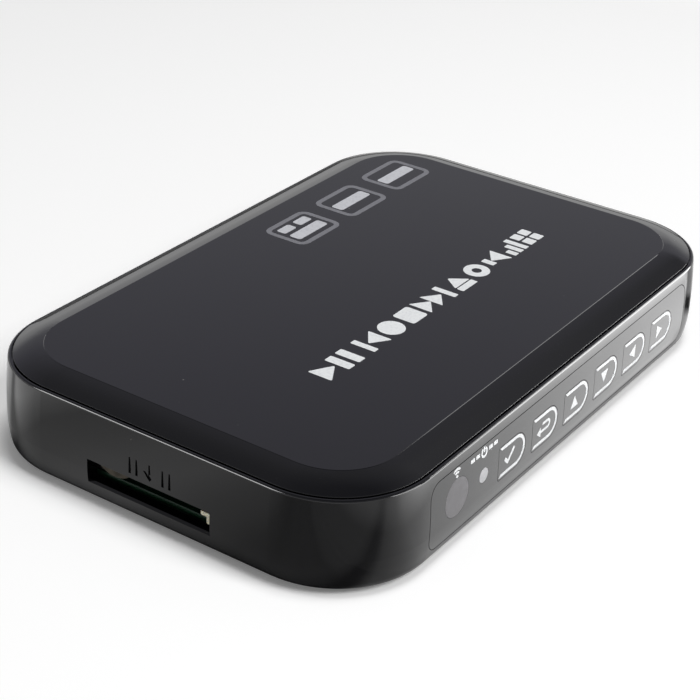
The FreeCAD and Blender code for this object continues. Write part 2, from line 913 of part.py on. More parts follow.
def card_spring():
    """Coil spring between the slider and the contact block."""
    y, z = spring_axis()
    length = spring_end_x - slider_end_x - 2 * spring_wire_radius
    coil_radius = spring_radius - spring_wire_radius
    path = Part.makeHelix(length / spring_turns, length, coil_radius)
    wire = Part.Wire(Part.makeCircle(spring_wire_radius, V(coil_radius, 0, 0), V(0, 1, 0)))
    coil = Part.Wire(path).makePipeShell([wire], True, True)
    coil.rotate(V(0, 0, 0), V(0, 1, 0), 90)
    coil.translate(V(slider_end_x + spring_wire_radius, y, z))
    return coil


# ---------------------------------------------------------------- rear connectors

def usb_shell():
    """Sheet-metal tube of the USB-A socket."""
    low = board_z + usb_base
    half = usb_width / 2
    t = usb_sheet
    y0 = port_y - usb_depth
    tube = box(usb_x - half, usb_x + half, y0, port_y, low, low + usb_height)
    return tube.cut(box(usb_x - half + t, usb_x + half - t, y0, port_y, low + t, low + usb_height - t))


def usb_tongue_z():
    """Underside of the tongue."""
    return board_z + usb_base + usb_height - usb_sheet - usb_tongue_drop - usb_tongue_thickness


def usb_core():
    """Plastic base, back block and tongue of the USB-A socket."""
    low = board_z + usb_base
    half = usb_width / 2
    t = usb_sheet
    y0 = port_y - usb_depth
    foot = box(usb_x - half, usb_x + half, y0, port_y - side_wall, board_z, low)
    block = box(usb_x - half + t, usb_x + half - t, y0, y0 + usb_back, low + t, low + usb_height - t)
    wide = usb_tongue_width / 2
    z = usb_tongue_z()
    tongue = box(usb_x - wide, usb_x + wide, y0, port_y - usb_tongue_setback, z, z + usb_tongue_thickness)
    return foot, fuse(block, tongue)


def contact_row(x, count, pitch, width, y0, y1, z):
    shapes = []
    for i in range(count):
        middle = x + pitch * (i - (count - 1) / 2)
        shapes.append(box(middle - width / 2, middle + width / 2, y0, y1, z, z + port_contact_thickness))
    return shapes


def usb_contacts():
    z = usb_tongue_z() - port_contact_thickness
    y0 = port_y - usb_depth + usb_back
    y1 = port_y - 2 * usb_tongue_setback
    return group(contact_row(usb_x, usb_contact_count, usb_contact_pitch, usb_contact_width, y0, y1, z))


def video_outline(inset):
    """Corners (x, z) of the video socket's outline, its lower corners cut off."""
    half = video_width / 2 - inset
    low = board_z + inset
    high = board_z + video_height - inset
    cut_x = video_corner_x
    cut_z = video_corner_z
    return [
        (video_x - half, high), (video_x - half, low + cut_z), (video_x - half + cut_x, low),
        (video_x + half - cut_x, low), (video_x + half, low + cut_z), (video_x + half, high),
    ]


def video_prism(inset, y0, y1):
    return prism([(x, y0, z) for x, z in video_outline(inset)], (0, y1 - y0, 0))


def video_shell():
    y0 = port_y - video_depth
    return video_prism(0, y0, port_y).cut(video_prism(video_sheet, y0, port_y))


def video_core():
    """Plastic back block and tongue of the video socket."""
    y0 = port_y - video_depth
    block = video_prism(video_sheet, y0, y0 + video_back)
    half = video_tongue_width / 2
    low = board_z + (video_height - video_tongue_thickness) / 2
    high = low + video_tongue_thickness
    tongue = box(video_x - half, video_x + half, y0, port_y - video_tongue_setback, low, high)
    return fuse(block, tongue)


def video_contacts():
    y0 = port_y - video_depth + video_back
    y1 = port_y - 2 * video_tongue_setback
    low = board_z + (video_height - video_tongue_thickness) / 2
    count, pitch, width = video_contact_count, video_contact_pitch, video_contact_width
    upper = contact_row(video_x, count, pitch, width, y0, y1, low + video_tongue_thickness)
    lower = contact_row(video_x, count - 1, pitch, width, y0, y1, low - port_contact_thickness)
    return group(upper + lower)


def round_jack(x, z, width, height, depth, collar, bore, bore_depth):
    """Block on the board with a round collar through the wall and a blind bore."""
    front = rear_inner_y
    body = box(x - width / 2, x + width / 2, front - depth, front, board_z, board_z + height)
    neck = front_rod(x, z, collar, front, port_y)
    return fuse(body, neck).cut(front_rod(x, z, bore, port_y - bore_depth, port_y))


def audio_jack():
    return round_jack(audio_x, audio_z, audio_width, audio_height, audio_depth,
                      audio_collar_radius, audio_bore_radius, audio_bore_depth)


def power_jack():
    return round_jack(power_x, power_z, power_width, power_height, power_depth,
                      power_collar_radius, power_bore_radius, power_bore_depth)


def power_pin():
    return front_rod(power_x, power_z, power_pin_radius, port_y - power_bore_depth,
                     port_y - power_pin_setback)


# ---------------------------------------------------------------- main board

def main_board():
    board = case_loop(section(
        (corner_radius, board_low_z), (board_inset, board_low_z),
        (board_inset, board_z), (corner_radius, board_z),
    ))
    reach = boss_radius + board_boss_clearance
    holes = [rod(reach, (x, y, board_low_z - 1), (x, y, board_z + 1)) for x, y in case_screws_at]
    grip = board_screw_radius + board_screw_hole_clearance
    holes += [rod(grip, (x, y, board_low_z - 1), (x, y, board_z + 1)) for x, y in board_screws_at]
    return board.cut(holes + [header_pin(x, header_hole_clearance) for x in header_xs()])


def board_screws():
    shapes = []
    for x, y in board_screws_at:
        one = screw(board_screw_radius, board_screw_length, board_screw_head_radius, board_screw_head_height)
        one.rotate(V(0, 0, 0), V(1, 0, 0), 180)
        one.translate(V(x, y, board_z))
        shapes.append(one)
    return group(shapes)


def lying_chip(x, y, length, width, height):
    """Chip with a dot sunk near its first corner."""
    top = board_z + height
    body = box(x - length / 2, x + length / 2, y - width / 2, y + width / 2, board_z, top)
    dot_x = x - length / 2 + chip_dot_inset
    dot_y = y + width / 2 - chip_dot_inset
    return body.cut(rod(chip_dot_radius, (dot_x, dot_y, top - chip_dot_depth), (dot_x, dot_y, top)))


def thermal_pad():
    low = board_z + chip_height
    half = pad_size / 2
    return box(chip_x - half, chip_x + half, chip_y - half, chip_y + half, low, low + pad_thickness)


def heat_sink():
    low = board_z + chip_height + pad_thickness
    half = sink_size / 2
    base = box(chip_x - half, chip_x + half, chip_y - half, chip_y + half, low, low + sink_base)
    pitch = (sink_size - sink_fin_thickness) / (sink_fin_count - 1)
    top = low + sink_base + sink_fin_height
    fins = []
    for i in range(sink_fin_count):
        x = chip_x - half + pitch * i
        fins.append(box(x, x + sink_fin_thickness, chip_y - half, chip_y + half, low + sink_base, top))
    return fuse(base, *fins)


def memory_chips():
    x = chip_x + sink_size / 2 + part_spacing + memory_width / 2
    step = (memory_length + part_spacing) / 2
    return group([
        lying_chip(x, chip_y + side * step, memory_width, memory_length, memory_height)
        for side in (-1, 1)
    ])


def flash_chip():
    """Chip with a row of leads along each short side."""
    x = chip_x - sink_size / 2 - part_spacing - flash_width / 2
    body = lying_chip(x, chip_y, flash_width, flash_length, flash_height)
    leads = []
    for i in range(flash_lead_count):
        middle = chip_y + flash_lead_pitch * (i - (flash_lead_count - 1) / 2)
        low, high = middle - flash_lead_width / 2, middle + flash_lead_width / 2
        for side in (-1, 1):
            near = x + side * (flash_width / 2)
            far = near + side * flash_lead_length
            x0, x1 = sorted((near, far))
            leads.append(box(x0, x1, low, high, board_z, board_z + flash_lead_thickness))
    return fuse(body, *leads)


def crystal():
    y = chip_y + sink_size / 2 + part_spacing + crystal_width / 2
    return slab(chip_x, y, crystal_length, crystal_width, crystal_width / 2,
                board_z, board_z + crystal_height)


def capacitor_x():
    return half_length - capacitor_edge_distance - capacitor_base / 2


def capacitors():
    x = capacitor_x()
    half = capacitor_base / 2
    seat = board_z + capacitor_base_height
    shapes = []
    for i in range(capacitor_count):
        y = capacitor_pitch * (i - (capacitor_count - 1) / 2)
        base = box(x - half, x + half, y - half, y + half, board_z, seat)
        can = rod(capacitor_radius, (x, y, seat), (x, y, board_z + capacitor_height))
        shapes.append(fuse(base, can))
    return group(shapes)


def coils():
    x = capacitor_x() - capacitor_base / 2 - part_spacing - coil_size / 2
    return group([
        slab(x, coil_pitch * (i - (coil_count - 1) / 2), coil_size, coil_size, coil_size / 5,
             board_z, board_z + coil_height)
        for i in range(coil_count)
    ])


# ---------------------------------------------------------------- write the pieces

os.makedirs("parts", exist_ok=True)

outer = outer_body()
save("bottom_shell", bottom_shell(outer))
save("top_cover", top_cover())
save("front_strip", front_strip(outer))
save("infrared_window", wall_insert(outer, window_x, window_z, window_radius, window_flange))
save("light_pipe", wall_insert(outer, light_x, light_z, light_radius, light_flange))
for name, x in zip(key_names, key_xs):
    save("key_" + name, key(outer, x))
    save("switch_stem_" + name, switch_stem(x))
save("rubber_feet", feet())
save("rating_plate", rating_plate())
save("case_screws", case_screws())

save("key_board", key_board())
save("switch_bodies", switch_bodies())
save("switch_frames", switch_frames())
save("key_board_header", key_board_header())
save("header_pins", group([header_pin(x, 0) for x in header_xs()]))
save("infrared_receiver", infrared_receiver())
save("power_led", power_led())

save("card_socket_cover", socket_cover())
save("card_socket_base", socket_base())
save("card_contacts", card_contacts())
save("card_slider", card_slider())
save("card_spring", card_spring())

usb_foot, usb_block = usb_core()
save("usb_socket_shell", usb_shell())
save("usb_socket_foot", usb_foot)
save("usb_socket_tongue", usb_block)
save("usb_contacts", usb_contacts())
save("video_socket_shell", video_shell())
save("video_socket_tongue", video_core())
save("video_contacts", video_contacts())
save("audio_jack", audio_jack())
save("power_jack", power_jack())
save("power_jack_pin", power_pin())

save("main_board", main_board())
save("board_screws", board_screws())
save("processor", lying_chip(chip_x, chip_y, chip_size, chip_size, chip_height))
save("thermal_pad", thermal_pad())
save("heat_sink", heat_sink())
save("memory_chips", memory_chips())
save("flash_chip", flash_chip())
save("quartz_crystal", crystal())
save("capacitors", capacitors())
save("power_coils", coils())
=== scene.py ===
import math

import bmesh
import bpy
from mathutils import Matrix, Vector


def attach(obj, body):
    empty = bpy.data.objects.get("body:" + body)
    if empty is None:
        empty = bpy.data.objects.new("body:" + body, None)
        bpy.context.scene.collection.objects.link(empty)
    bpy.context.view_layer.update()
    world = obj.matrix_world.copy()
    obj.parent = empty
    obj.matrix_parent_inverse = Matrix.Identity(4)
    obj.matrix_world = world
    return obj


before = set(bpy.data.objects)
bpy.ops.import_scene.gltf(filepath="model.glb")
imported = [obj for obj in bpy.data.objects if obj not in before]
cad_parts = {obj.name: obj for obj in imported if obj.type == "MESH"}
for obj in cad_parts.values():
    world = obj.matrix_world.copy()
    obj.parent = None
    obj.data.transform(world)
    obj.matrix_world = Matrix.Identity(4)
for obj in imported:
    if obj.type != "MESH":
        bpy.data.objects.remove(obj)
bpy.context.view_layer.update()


# The camera stands at the left front corner of the player and looks down at it.
# Its three directions are the view's right, the view's up and the way back.
MM = 0.001
camera_place = Vector((-251.394, -159.961, 170.920)) * MM
camera_right = Vector((0.56681664, -0.82278669, 0.04172475))
camera_up = Vector((0.37870952, 0.30520142, 0.8737455))
camera_back = Vector((-0.73164062, -0.47945193, 0.4845904))
camera_lens = bpy.data.cameras.new("product_camera")
camera_lens.sensor_width = 36.0
camera_lens.lens = 92.02
camera_lens.clip_start = 0.01
camera_lens.clip_end = 50.0
camera = bpy.data.objects.new("product_camera", camera_lens)
bpy.context.collection.objects.link(camera)
camera_turn = Matrix((camera_right, camera_up, camera_back)).transposed()
camera.matrix_world = Matrix.Translation(camera_place) @ camera_turn.to_4x4()
bpy.context.scene.camera = camera


# Bottom shell: one injection moulding with the side wall, in black ABS.
# The mould is polished, so the wall is glossy; handling leaves faint smears,
# hairlines and a little dust, and the skin has the slight waviness of a moulding.
def linear(hex_colour):
    """Turn an sRGB hex colour into the linear colour that Blender works with."""
    made = []
    for start in (1, 3, 5):
        value = int(hex_colour[start:start + 2], 16) / 255
        made.append(value / 12.92 if value <= 0.04045 else ((value + 0.055) / 1.055) ** 2.4)
    return (*made, 1.0)


def add_node(material, kind, settings, links=()):
    """Add one shader node with its settings and the outputs that feed it."""
    tree = material.node_tree
    made = tree.nodes.new("ShaderNode" + kind)
    for name, value in settings.items():
        if name == "stops":
            made.color_ramp.elements.remove(made.color_ramp.elements[1])
            made.color_ramp.elements[0].position = value[0][0]
            made.color_ramp.elements[0].color = value[0][1]
            for place, colour in value[1:]:
                made.color_ramp.elements.new(place).color = colour
        elif isinstance(name, int) or name in made.inputs:
            made.inputs[name].default_value = value
        else:
            setattr(made, name, value)
    for name, source in dict(links).items():
        tree.links.new(source, made.inputs[name])
    return made


def start_material(name, colour, roughness, metallic=0.0, **sockets):
    """Start a material: its plain colour and numbers sit on the shader's own sockets.

    Returns the material, its shader, and the place on the object that patterns read.
    """
    material = bpy.data.materials.new(name)
    material.use_nodes = True
    shader = material.node_tree.nodes["Principled BSDF"]
    shader.inputs["Base Color"].default_value = linear(colour)
    shader.inputs["Roughness"].default_value = roughness
    shader.inputs["Metallic"].default_value = metallic
    for socket, value in sockets.items():
        shader.inputs[socket.replace("_", " ")].default_value = value
    return material, shader, add_node(material, "TexCoord", {}).outputs["Object"]


def dress(material, *node_names):
    """Give CAD nodes their finish."""
    for node_name in node_names:
        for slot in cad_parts[node_name].material_slots:
            slot.material = material


def polished_black(name, colour, roughness, gloss_wear):
    """Polished black ABS: a sharp reflection over a nearly black body.

    All sizes are in mm. Real hairlines and dust are finer and would not show.
    """
    smear_size = 14.0
    hairline_gap = 0.2
    hairline_length = 22.0
    hairline_turn = math.radians(24)
    dust_spacing = 9.0
    dust_core = 0.108
    dust_edge = 0.18
    dust_colour = "#6E6C68"
    wave_size = 5.0
    wave_height = 0.004
    material, shader, place = start_material(name, colour, roughness, IOR=1.53)
    smears = add_node(
        material, "TexNoise",
        {"Scale": 1000 / smear_size, "Detail": 4.0, "Roughness": 0.6}, {"Vector": place})
    combed = add_node(
        material, "Mapping",
        {"Scale": (1000 / hairline_length, 1000 / hairline_gap, 1000 / hairline_length),
         "Rotation": (0.0, 0.0, hairline_turn)}, {"Vector": place})
    hairlines = add_node(
        material, "TexNoise", {"Scale": 1.0, "Detail": 2.0}, {"Vector": combed.outputs[0]})
    thin_lines = add_node(
        material, "MapRange",
        {"From Min": 0.66, "From Max": 0.74, "To Min": 0.0, "To Max": gloss_wear},
        {"Value": hairlines.outputs["Fac"]})
    smeared = add_node(
        material, "MapRange",
        {"From Min": 0.42, "From Max": 0.75, "To Min": roughness,
         "To Max": roughness + gloss_wear}, {"Value": smears.outputs["Fac"]})
    worn = add_node(
        material, "Math", {"operation": "ADD"},
        {0: smeared.outputs[0], 1: thin_lines.outputs[0]})
    grains = add_node(
        material, "TexVoronoi", {"Scale": 1000 / dust_spacing, "Randomness": 1.0},
        {"Vector": place})
    dust = add_node(
        material, "MapRange",
        {"From Min": dust_core / dust_spacing, "From Max": dust_edge / dust_spacing,
         "To Min": 1.0, "To Max": 0.0}, {"Value": grains.outputs["Distance"]})
    tint = add_node(
        material, "ValToRGB",
        {"stops": ((0.0, linear(colour)), (1.0, linear(dust_colour)))},
        {"Fac": dust.outputs[0]})
    waves = add_node(
        material, "TexNoise", {"Scale": 1000 / wave_size, "Detail": 1.0}, {"Vector": place})
    skin = add_node(
        material, "Bump", {"Strength": 0.3, "Distance": wave_height * MM},
        {"Height": waves.outputs["Fac"]})
    links = material.node_tree.links
    links.new(worn.outputs[0], shader.inputs["Roughness"])
    links.new(tint.outputs[0], shader.inputs["Base Color"])
    links.new(skin.outputs[0], shader.inputs["Normal"])
    return material


case_abs = polished_black("polished_black_abs", "#0B0B0D", 0.07, 0.05)
dress(case_abs, "bottom_shell")


# Rubber feet: four die-cut discs of black nitrile rubber, stuck into shallow wells.
# Cut rubber is matt, with a fine talc-grey grain of 0.35 mm.
def vary_finish(material, shader, pattern, tones=(), gloss=(), relief=()):
    """Let a pattern carry a finish: its colours as (pattern level, colour) stops, its
    roughness where the pattern is 0 and 1, and its relief as (strength, height in mm)."""
    links = material.node_tree.links
    if tones:
        stops = [(level, linear(colour)) for level, colour in tones]
        tone = add_node(material, "ValToRGB", {"stops": stops}, {"Fac": pattern})
        links.new(tone.outputs[0], shader.inputs["Base Color"])
    if gloss:
        low, high = gloss
        dull = add_node(
            material, "MapRange", {"To Min": low, "To Max": high}, {"Value": pattern})
        links.new(dull.outputs[0], shader.inputs["Roughness"])
    if relief:
        strength, height = relief
        bump = add_node(
            material, "Bump", {"Strength": strength, "Distance": height * MM},
            {"Height": pattern})
        links.new(bump.outputs[0], shader.inputs["Normal"])


rubber, rubber_shader, rubber_place = start_material(
    "black_nitrile_rubber", "#1B1B1C", 0.85, IOR=1.52)
rubber_grain_size = 0.35
rubber_grain = add_node(
    rubber, "TexNoise", {"Scale": 1000 / rubber_grain_size, "Detail": 6.0, "Roughness": 0.7},
    {"Vector": rubber_place})
vary_finish(
    rubber, rubber_shader, rubber_grain.outputs["Fac"],
    tones=((0.40, "#161617"), (0.75, "#2C2B2A")), relief=(0.6, 0.03))
dress(rubber, "rubber_feet")


# Rating plate: a bare foil label of brushed aluminium, stuck into its recess below.
# Brushing runs along its length in streaks 0.12 mm apart, so it shines in bands.
foil, foil_shader, foil_place = start_material("brushed_aluminium_foil", "#A9AAAD", 0.34, 1.0)
foil_streak_gap = 0.12
foil_streak_length = 18.0
foil_comb = add_node(
    foil, "Mapping",
    {"Scale": (1000 / foil_streak_length, 1000 / foil_streak_gap, 1000 / foil_streak_length)},
    {"Vector": foil_place})
foil_brush = add_node(
    foil, "TexNoise", {"Scale": 1.0, "Detail": 3.0}, {"Vector": foil_comb.outputs[0]})
vary_finish(
    foil, foil_shader, foil_brush.outputs["Fac"],
    tones=((0.30, "#909194"), (0.70, "#BBBCBE")), gloss=(0.26, 0.46), relief=(0.4, 0.01))
dress(foil, "rating_plate")


# Circuit boards: glass-fibre laminate under green solder mask, routed from a panel.
# Copper tracks 0.8 mm apart lift the mask slightly and make it a little lighter.
mask, mask_shader, mask_place = start_material("green_solder_mask", "#0F301E", 0.42, IOR=1.55)
track_length = 4.8
track_pitch = 0.78
track_pattern_size = 6.0
mask_cloud_size = 4.0
mask_tracks = add_node(
    mask, "TexBrick",
    {"Scale": 1000 / track_pattern_size, "Brick Width": track_length / track_pattern_size,
     "Row Height": track_pitch / track_pattern_size, "Mortar Size": 0.02,
     "Color1": (0.9, 0.9, 0.9, 1), "Color2": (0.8, 0.8, 0.8, 1), "Mortar": (0.6, 0.6, 0.6, 1)},
    {"Vector": mask_place})
mask_cloud = add_node(
    mask, "TexNoise", {"Scale": 1000 / mask_cloud_size, "Detail": 3.0}, {"Vector": mask_place})
mask_mottle = add_node(
    mask, "Math", {"operation": "MULTIPLY"},
    {0: mask_tracks.outputs["Color"], 1: mask_cloud.outputs["Fac"]})
vary_finish(
    mask, mask_shader, mask_mottle.outputs[0],
    tones=((0.0, "#0A2116"), (0.25, "#0F2E1D"), (0.6, "#173F29")))
vary_finish(mask, mask_shader, mask_tracks.outputs["Color"], relief=(0.3, 0.02))
dress(mask, "main_board", "key_board")


# Chips: silicon in black epoxy moulding compound, with a finely sparked surface.
# The ground top has a 0.08 mm grain, drawn at 0.25 mm so that it shows.
epoxy, epoxy_shader, epoxy_place = start_material(
    "epoxy_moulding_compound", "#1C1C1E", 0.62, IOR=1.55)
epoxy_grain_size = 0.25
epoxy_grain = add_node(
    epoxy, "TexNoise", {"Scale": 1000 / epoxy_grain_size, "Detail": 5.0},
    {"Vector": epoxy_place})
vary_finish(
    epoxy, epoxy_shader, epoxy_grain.outputs["Fac"],
    tones=((0.35, "#161617"), (0.7, "#29292B")), relief=(0.5, 0.015))
dress(epoxy, "processor", "memory_chips", "flash_chip")


# Power coils: pressed ferrite blocks, dark grey, with the open grain of sintered powder.
# The grain is 0.15 mm, drawn at 0.3 mm.
ferrite, ferrite_shader, ferrite_place = start_material(
    "pressed_ferrite", "#2F3033", 0.7, IOR=1.9)
ferrite_grain_size = 0.3
ferrite_grain = add_node(
    ferrite, "TexNoise",
    {"Scale": 1000 / ferrite_grain_size, "Detail": 6.0, "Roughness": 0.75},
    {"Vector": ferrite_place})
vary_finish(
    ferrite, ferrite_shader, ferrite_grain.outputs["Fac"],
    tones=((0.35, "#232427"), (0.7, "#45464A")), relief=(0.7, 0.03))
dress(ferrite, "power_coils")


# Heat pad: soft silicone filled with ceramic powder, grey-blue and dead matt.
# Filler grains of about 0.2 mm mottle it.
silicone, silicone_shader, silicone_place = start_material(
    "filled_silicone", "#8E979F", 0.9, IOR=1.45)
silicone_grain_size = 0.2
silicone_grain = add_node(
    silicone, "TexNoise", {"Scale": 1000 / silicone_grain_size, "Detail": 4.0},
    {"Vector": silicone_place})
vary_finish(
    silicone, silicone_shader, silicone_grain.outputs["Fac"],
    tones=((0.35, "#828B94"), (0.7, "#9DA5AC")))
dress(silicone, "thermal_pad")


# Heat sink and the capacitors' cans: drawn and extruded aluminium with a thin anodic skin.
# Die lines 0.2 mm apart run up the fins and the cans.
drawn, drawn_shader, drawn_place = start_material("drawn_aluminium", "#B4B5B8", 0.4, 1.0)
die_line_gap = 0.2
die_line_length = 12.0
drawn_comb = add_node(
    drawn, "Mapping",
    {"Scale": (1000 / die_line_gap, 1000 / die_line_gap, 1000 / die_line_length)},
    {"Vector": drawn_place})
drawn_lines = add_node(
    drawn, "TexNoise", {"Scale": 1.0, "Detail": 3.0}, {"Vector": drawn_comb.outputs[0]})
vary_finish(
    drawn, drawn_shader, drawn_lines.outputs["Fac"],
    tones=((0.3, "#9C9DA1"), (0.7, "#C4C5C7")), gloss=(0.3, 0.52))
dress(drawn, "heat_sink", "capacitors")


# Connector shells, switch frames, springs, the crystal's can and the power jack's pin:
# thin steel strip, stamped and folded, then bright tin plated. Plating is slightly cloudy
# over patches of 2 mm, with rolling lines 0.1 mm apart.
tin, tin_shader, tin_place = start_material("tin_plated_steel", "#B0ABA4", 0.28, 1.0)
tin_cloud_size = 2.0
rolling_line_gap = 0.1
rolling_line_length = 8.0
tin_cloud = add_node(
    tin, "TexNoise", {"Scale": 1000 / tin_cloud_size, "Detail": 4.0}, {"Vector": tin_place})
tin_comb = add_node(
    tin, "Mapping",
    {"Scale": (1000 / rolling_line_gap, 1000 / rolling_line_length, 1000 / rolling_line_gap)},
    {"Vector": tin_place})
tin_lines = add_node(
    tin, "TexNoise", {"Scale": 1.0, "Detail": 2.0}, {"Vector": tin_comb.outputs[0]})
vary_finish(
    tin, tin_shader, tin_cloud.outputs["Fac"], tones=((0.3, "#98928A"), (0.7, "#C2BEB8")))
vary_finish(
    tin, tin_shader, tin_lines.outputs["Fac"], gloss=(0.2, 0.4), relief=(0.3, 0.005))
dress(tin, "usb_socket_shell", "video_socket_shell", "card_spring")
dress(tin, "switch_frames", "quartz_crystal", "power_jack_pin")


# Card socket's cover: one sheet of nickel silver, stamped, folded and left bare.
# It is browner and duller than the plated shells, and tarnish clouds it every 1.5 mm.
nickel, nickel_shader, nickel_place = start_material(
    "bare_nickel_silver", "#47433C", 0.46, 1.0)
tarnish_size = 1.5
nickel_cloud = add_node(
    nickel, "TexNoise", {"Scale": 1000 / tarnish_size, "Detail": 5.0},
    {"Vector": nickel_place})
vary_finish(
    nickel, nickel_shader, nickel_cloud.outputs["Fac"],
    tones=((0.3, "#3B3731"), (0.7, "#524D44")), gloss=(0.34, 0.52))
dress(nickel, "card_socket_cover")


# Screws: carbon steel wire, cold headed and rolled, then zinc plated.
# Zinc is bluish and slightly mottled at 0.6 mm.
zinc, zinc_shader, zinc_place = start_material("zinc_plated_steel", "#8D9197", 0.35, 1.0)
zinc_mottle_size = 0.6
zinc_mottle = add_node(
    zinc, "TexNoise", {"Scale": 1000 / zinc_mottle_size, "Detail": 5.0},
    {"Vector": zinc_place})
vary_finish(
    zinc, zinc_shader, zinc_mottle.outputs["Fac"],
    tones=((0.3, "#757A82"), (0.7, "#A5A8AC")), gloss=(0.26, 0.5))
dress(zinc, "case_screws", "board_screws")


# Contacts and header pins: phosphor bronze strip, flash plated with gold.
# Wiping by cards and plugs leaves paler streaks 0.3 mm apart.
gold, gold_shader, gold_place = start_material("gold_flashed_bronze", "#D8A84A", 0.25, 1.0)
wipe_size = 0.3
gold_wipe = add_node(
    gold, "TexNoise", {"Scale": 1000 / wipe_size, "Detail": 3.0}, {"Vector": gold_place})
vary_finish(
    gold, gold_shader, gold_wipe.outputs["Fac"],
    tones=((0.3, "#C8933A"), (0.7, "#E6C078")), gloss=(0.18, 0.36))
dress(gold, "card_contacts", "usb_contacts", "video_contacts", "header_pins")


# Connector bodies, jacks and switch bodies: glass-filled nylon, moulded black and matt.
# Glass fibres leave a faint grey fleck of 0.4 mm.
nylon, nylon_shader, nylon_place = start_material(
    "glass_filled_black_nylon", "#141415", 0.55, IOR=1.53)
fleck_size = 0.4
nylon_fleck = add_node(
    nylon, "TexNoise", {"Scale": 1000 / fleck_size, "Detail": 5.0, "Roughness": 0.65},
    {"Vector": nylon_place})
vary_finish(
    nylon, nylon_shader, nylon_fleck.outputs["Fac"],
    tones=((0.4, "#111112"), (0.8, "#262628")), gloss=(0.42, 0.68), relief=(0.4, 0.01))
key_names = ("ok", "back", "up", "down", "left", "right")
dress(nylon, "usb_socket_foot", "usb_socket_tongue", "video_socket_tongue")
dress(nylon, "audio_jack", "power_jack", "card_socket_base")
dress(nylon, "switch_bodies", "key_board_header")
dress(nylon, *("switch_stem_" + key for key in key_names))


# Card slider: natural nylon, cream and waxy, slides in the socket against its spring.
# It lets a little light in, so its edges glow softly.
cream, cream_shader, cream_place = start_material(
    "natural_nylon", "#DDD8BC", 0.42, IOR=1.53, Subsurface_Weight=0.25,
    Subsurface_Radius=(0.6, 0.5, 0.3), Subsurface_Scale=1.0 * MM)
cream_cloud_size = 1.5
cream_cloud = add_node(
    cream, "TexNoise", {"Scale": 1000 / cream_cloud_size, "Detail": 3.0},
    {"Vector": cream_place})
vary_finish(
    cream, cream_shader, cream_cloud.outputs["Fac"],
    tones=((0.3, "#D3CDAE"), (0.7, "#E6E2CA")))
dress(cream, "card_slider")


# Receiver, window and lights. The window and the receiver are dyed polycarbonate, which
# only infra-red passes and which looks plum-black; the LED and its light pipe are milky.
dyed, dyed_shader, dyed_place = start_material(
    "infrared_polycarbonate", "#4A474A", 0.16, IOR=1.58)
dyed_haze_size = 1.6
dyed_haze = add_node(
    dyed, "TexNoise", {"Scale": 1000 / dyed_haze_size, "Detail": 2.0}, {"Vector": dyed_place})
vary_finish(
    dyed, dyed_shader, dyed_haze.outputs["Fac"],
    tones=((0.3, "#474448"), (0.7, "#4E4B50")), gloss=(0.1, 0.24))
dress(dyed, "infrared_window", "infrared_receiver")

milky, milky_shader, milky_place = start_material(
    "milky_acrylic", "#B9B9BC", 0.3, IOR=1.49, Subsurface_Weight=0.4,
    Subsurface_Radius=(0.8, 0.8, 0.8), Subsurface_Scale=1.0 * MM)
milky_cloud_size = 0.8
milky_cloud = add_node(
    milky, "TexNoise", {"Scale": 1000 / milky_cloud_size, "Detail": 3.0},
    {"Vector": milky_place})
vary_finish(
    milky, milky_shader, milky_cloud.outputs["Fac"],
    tones=((0.3, "#AFAFB3"), (0.7, "#C4C4C6")))
dress(milky, "light_pipe", "power_led")


# Front strip and keys: a separate black ABS moulding and six loose keys in its openings.
# They come from another mould than the case, and fingers have dulled the keys a little.
strip_abs = polished_black("polished_black_strip_abs", "#0D0D0F", 0.08, 0.05)
key_abs = polished_black("polished_black_key_abs", "#0E0E10", 0.09, 0.07)
dress(strip_abs, "front_strip")
dress(key_abs, *("key_" + key for key in key_names))


# Top cover: the same black ABS as the shell, pressed into it all round.
# A flat field, a crease, and a border that slopes down to the groove.
cover_abs = polished_black("polished_black_cover_abs", "#0B0B0D", 0.06, 0.05)
dress(cover_abs, "top_cover")


# Printed marks: two-part ink, pad printed in one coat 0.03 mm thick. White ink is chalky
# and covers fully; grey ink is the same ink let down, and both are mottled by the pad.
def pad_ink(name, thin_colour, full_colour):
    """Pad-printed ink: matt, with the mottle that a silicone pad leaves every 0.5 mm."""
    mottle_size = 0.5
    ink, ink_shader, place = start_material(name, full_colour, 0.45, IOR=1.5)
    mottle = add_node(
        ink, "TexNoise", {"Scale": 1000 / mottle_size, "Detail": 4.0, "Roughness": 0.6},
        {"Vector": place})
    vary_finish(
        ink, ink_shader, mottle.outputs["Fac"],
        tones=((0.3, thin_colour), (0.55, full_colour)), gloss=(0.36, 0.56),
        relief=(0.3, 0.005))
    return ink


white_ink = pad_ink("white_pad_ink", "#E2E4E7", "#F1F3F4")
grey_ink = pad_ink("grey_pad_ink", "#6A6A70", "#7C7C82")
pale_ink = pad_ink("pale_grey_pad_ink", "#BDBEC4", "#CFD0D5")
ink_coat = 0.03 * MM
before_the_front = Vector((0.0, -43.0, 0.0)) * MM

QUARTER = math.pi / 2
TURNS = {"up": 0.0, "left": QUARTER, "down": 2 * QUARTER, "right": -QUARTER}


